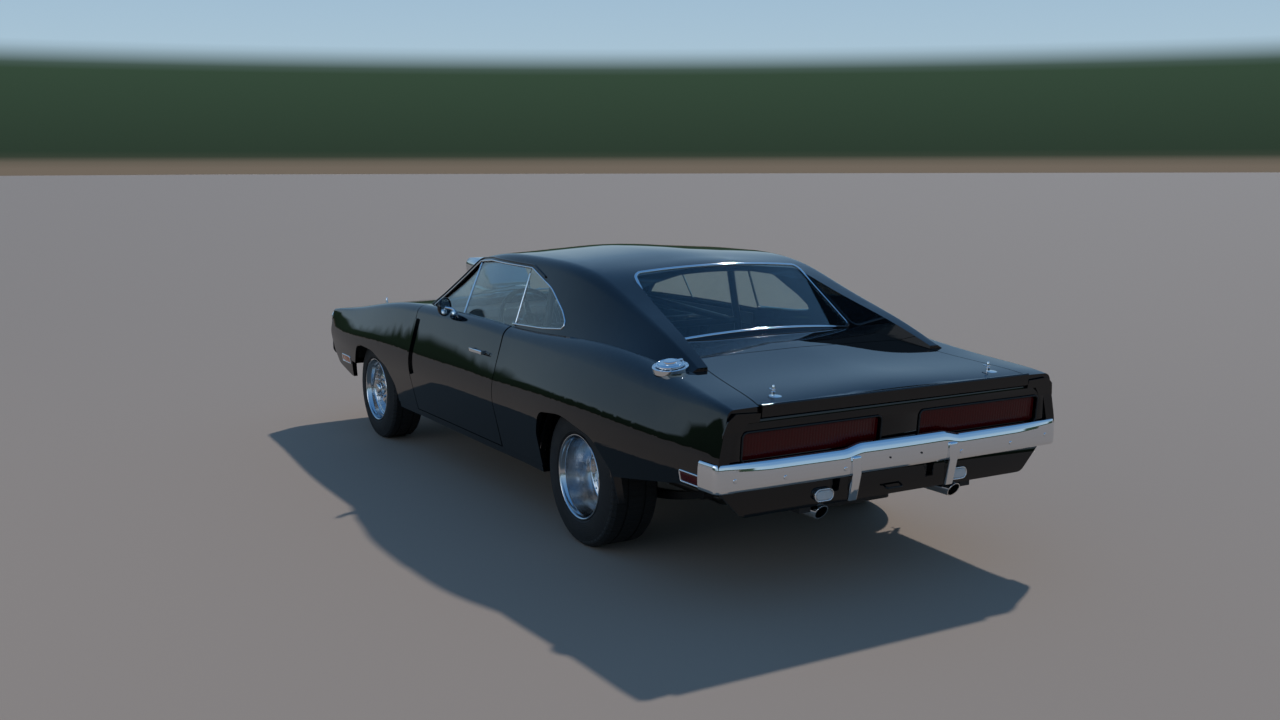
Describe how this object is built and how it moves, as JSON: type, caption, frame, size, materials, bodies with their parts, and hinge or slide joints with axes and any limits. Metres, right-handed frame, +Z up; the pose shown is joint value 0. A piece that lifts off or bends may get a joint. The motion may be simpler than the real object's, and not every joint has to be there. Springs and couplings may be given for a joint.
{
  "type": "two-door fastback muscle car",
  "caption": "Two-door fastback muscle car with sail pillars, recessed rear window, supercharger through the hood, deep dished wheels, chrome bumpers; doors, lids, steering and wheels move.",
  "frame": {"origin": "on the ground, at the middle of the car's overall length and width", "axes": "+X forward, +Y to the car's left, +Z up"},
  "size_m": [5.284, 1.9504, 1.3935],
  "materials": {
    "black_paint": "gloss black paint",
    "dark_steel": "satin black underbody coating",
    "chrome": "bright chrome plate",
    "gloss_trim": "gloss black shell",
    "grille_plastic": "satin black grille",
    "lamp_lens": "dark red lens",
    "window_glass": "lightly tinted clear glass",
    "cast_iron": "painted cast iron",
    "polished_aluminium": "polished aluminium",
    "bare_steel": "bare steel tube",
    "black_vinyl": "black vinyl",
    "dash_plastic": "black padded plastic",
    "tyre": "black rubber"
  },
  "bodies": {
    "body": {"roof_panel": "black_paint", "quarter_panels": "black_paint", "front_fenders": "black_paint", "dutchman_panel": "black_paint", "rocker_panels": "black_paint", "floor_pan": "dark_steel", "frame_rails": "dark_steel", "cowl_firewall": "black_paint", "inner_fenders": "dark_steel", "tail_panel": "dark_steel", "valances": "black_paint", "front_bumper": "chrome", "rear_bumper": "chrome", "grille": "grille_plastic", "tail_lamps": "lamp_lens", "side_markers": "lamp_lens", "fixed_windows": "window_glass", "engine_block": "cast_iron", "supercharger": "polished_aluminium", "exhaust_system": "bare_steel", "driveline": "dark_steel", "front_suspension": "dark_steel", "fuel_tank": "dark_steel", "dashboard": "dash_plastic", "seats": "black_vinyl", "roll_cage": "bare_steel", "fuel_filler": "chrome"},
    "hood": {"hood": "black_paint"},
    "trunk_lid": {"trunk_lid": "black_paint"},
    "door_left": {"door_left": "black_paint", "door_glass_left": "window_glass", "door_handle_left": "chrome", "door_mirror": "gloss_trim"},
    "door_right": {"door_right": "black_paint", "door_glass_right": "window_glass", "door_handle_right": "chrome"},
    "filler_cap": {"filler_cap": "chrome"},
    "steering_wheel": {"steering_wheel": "dash_plastic"},
    "knuckle_left": {"knuckle_left": "dark_steel"},
    "knuckle_right": {"knuckle_right": "dark_steel"},
    "wheel_front_left": {"rim_front_left": "chrome", "tyre_front_left": "tyre"},
    "wheel_front_right": {"rim_front_right": "chrome", "tyre_front_right": "tyre"},
    "wheel_rear_left": {"rim_rear_left": "chrome", "tyre_rear_left": "tyre"},
    "wheel_rear_right": {"rim_rear_right": "chrome", "tyre_rear_right": "tyre"}
  },
  "joints": [
    {"name": "door_left_hinge", "type": "hinge", "parent": "body", "child": "door_left", "pos_m": [0.87, 0.95, 0.65], "axis": [0, 0, -1], "range_deg": [0, 65]},
    {"name": "door_right_hinge", "type": "hinge", "parent": "body", "child": "door_right", "pos_m": [0.87, -0.95, 0.65], "axis": [0, 0, 1], "range_deg": [0, 65]},
    {"name": "hood_hinge", "type": "hinge", "parent": "body", "child": "hood", "pos_m": [1.074, 0, 0.996], "axis": [0, -1, 0], "range_deg": [0, 45]},
    {"name": "trunk_lid_hinge", "type": "hinge", "parent": "body", "child": "trunk_lid", "pos_m": [-1.872, 0, 0.985], "axis": [0, 1, 0], "range_deg": [0, 65]},
    {"name": "filler_cap_hinge", "type": "hinge", "parent": "body", "child": "filler_cap", "pos_m": [-1.911, 0.798, 0.99], "axis": [0, 1, 0], "range_deg": [0, 80]},
    {"name": "steer_left", "type": "hinge", "parent": "body", "child": "knuckle_left", "pos_m": [1.676, 0.7, 0.333], "axis": [0, 0, 1], "range_deg": [-24, 24]},
    {"name": "steer_right", "type": "hinge", "parent": "body", "child": "knuckle_right", "pos_m": [1.676, -0.7, 0.333], "axis": [0, 0, 1], "range_deg": [-24, 24]},
    {"name": "steering_wheel_turn", "type": "hinge", "parent": "body", "child": "steering_wheel", "pos_m": [0.345, 0.365, 0.905], "axis": [-0.9272, 0, 0.3746], "range_deg": [-370, 370]},
    {"name": "spin_front_left", "type": "hinge", "parent": "knuckle_left", "child": "wheel_front_left", "pos_m": [1.676, 0.7835, 0.333], "axis": [0, 1, 0], "continuous": true},
    {"name": "spin_front_right", "type": "hinge", "parent": "knuckle_right", "child": "wheel_front_right", "pos_m": [1.676, -0.7835, 0.333], "axis": [0, 1, 0], "continuous": true},
    {"name": "spin_rear_left", "type": "hinge", "parent": "body", "child": "wheel_rear_left", "pos_m": [-1.296, 0.7705, 0.345], "axis": [0, 1, 0], "continuous": true},
    {"name": "spin_rear_right", "type": "hinge", "parent": "body", "child": "wheel_rear_right", "pos_m": [-1.296, -0.7705, 0.345], "axis": [0, 1, 0], "continuous": true}
  ],
  "couplings": [
    {"joint": "steer_right", "follows": "steer_left", "ratio": 1},
    {"joint": "steering_wheel_turn", "follows": "steer_left", "ratio": 15}
  ]
}
